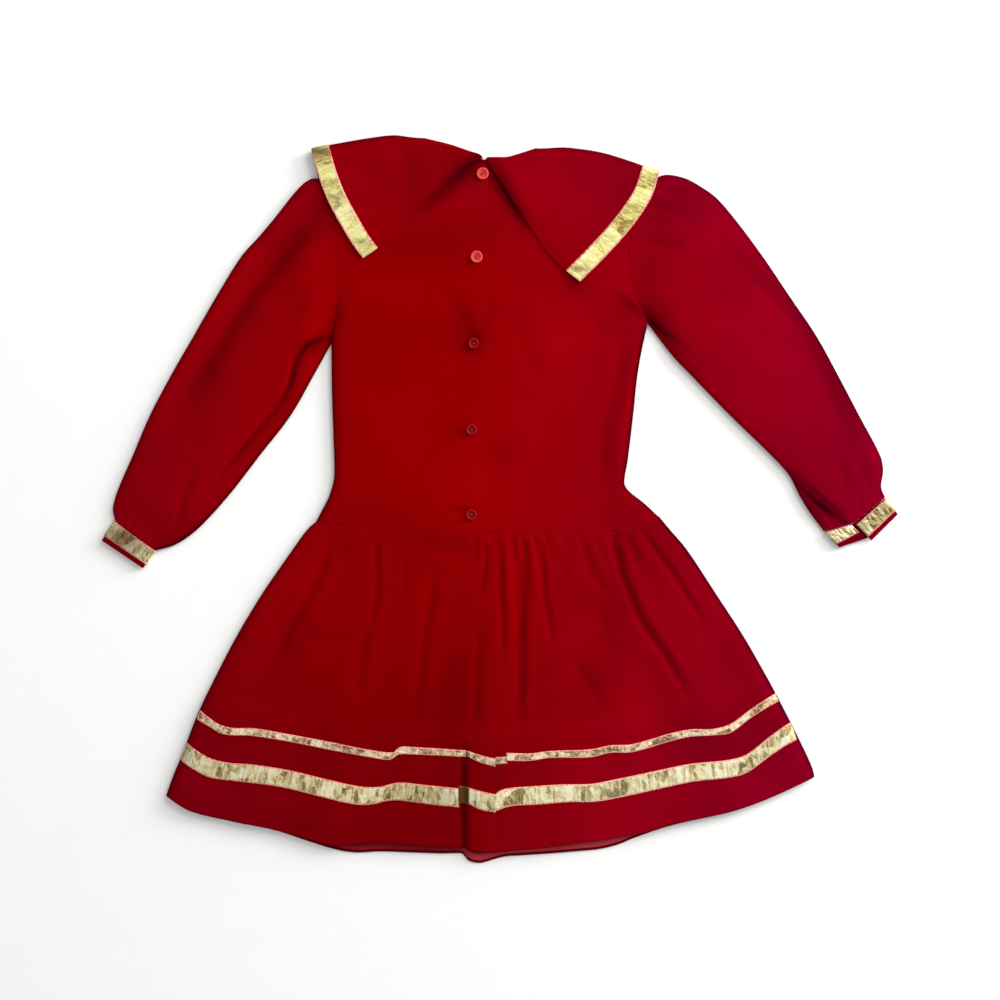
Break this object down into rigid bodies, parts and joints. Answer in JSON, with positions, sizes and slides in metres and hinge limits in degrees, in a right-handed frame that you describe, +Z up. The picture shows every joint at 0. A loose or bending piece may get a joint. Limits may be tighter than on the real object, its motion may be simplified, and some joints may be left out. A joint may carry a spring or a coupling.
{
  "type": "party dress",
  "caption": "Child's long-sleeved velvet party dress with a wide split collar, gathered skirt and gold ribbon trim, laid flat with its buttoned back side up.",
  "frame": {"origin": "middle of the dress's outline, on the surface that it lies on", "axes": "+X to the right as the back is looked at, from the wearer's left sleeve to the right one; +Y from the hem to the neck; +Z up, out of the back of the dress"},
  "size_m": [0.7976, 0.7272, 0.0108],
  "materials": {
    "velvet": "matte short-pile velvet, deep red",
    "gold_ribbon": "crinkled metallic gold ribbon with a woven selvedge",
    "coral_button": "satin coral-red plastic",
    "dark_button": "satin dark-red plastic"
  },
  "bodies": {
    "root": {"bodice_front": "velvet", "bodice_back_left": "velvet", "bodice_back_right": "velvet", "skirt_front": "velvet", "skirt_back": "velvet", "sleeve_left": "velvet", "sleeve_right": "velvet", "cuff_left": "velvet", "cuff_right": "velvet", "collar_left": "velvet", "collar_right": "velvet", "cuff_ribbon_left": "gold_ribbon", "cuff_ribbon_right": "gold_ribbon", "collar_ribbon_left": "gold_ribbon", "collar_ribbon_right": "gold_ribbon", "skirt_ribbon_wide_back": "gold_ribbon", "skirt_ribbon_wide_front": "gold_ribbon", "skirt_ribbon_narrow_back": "gold_ribbon", "skirt_ribbon_narrow_front": "gold_ribbon", "button_1": "coral_button", "button_2": "coral_button", "button_3": "dark_button", "button_4": "dark_button", "button_5": "dark_button"}
  },
  "joints": []
}
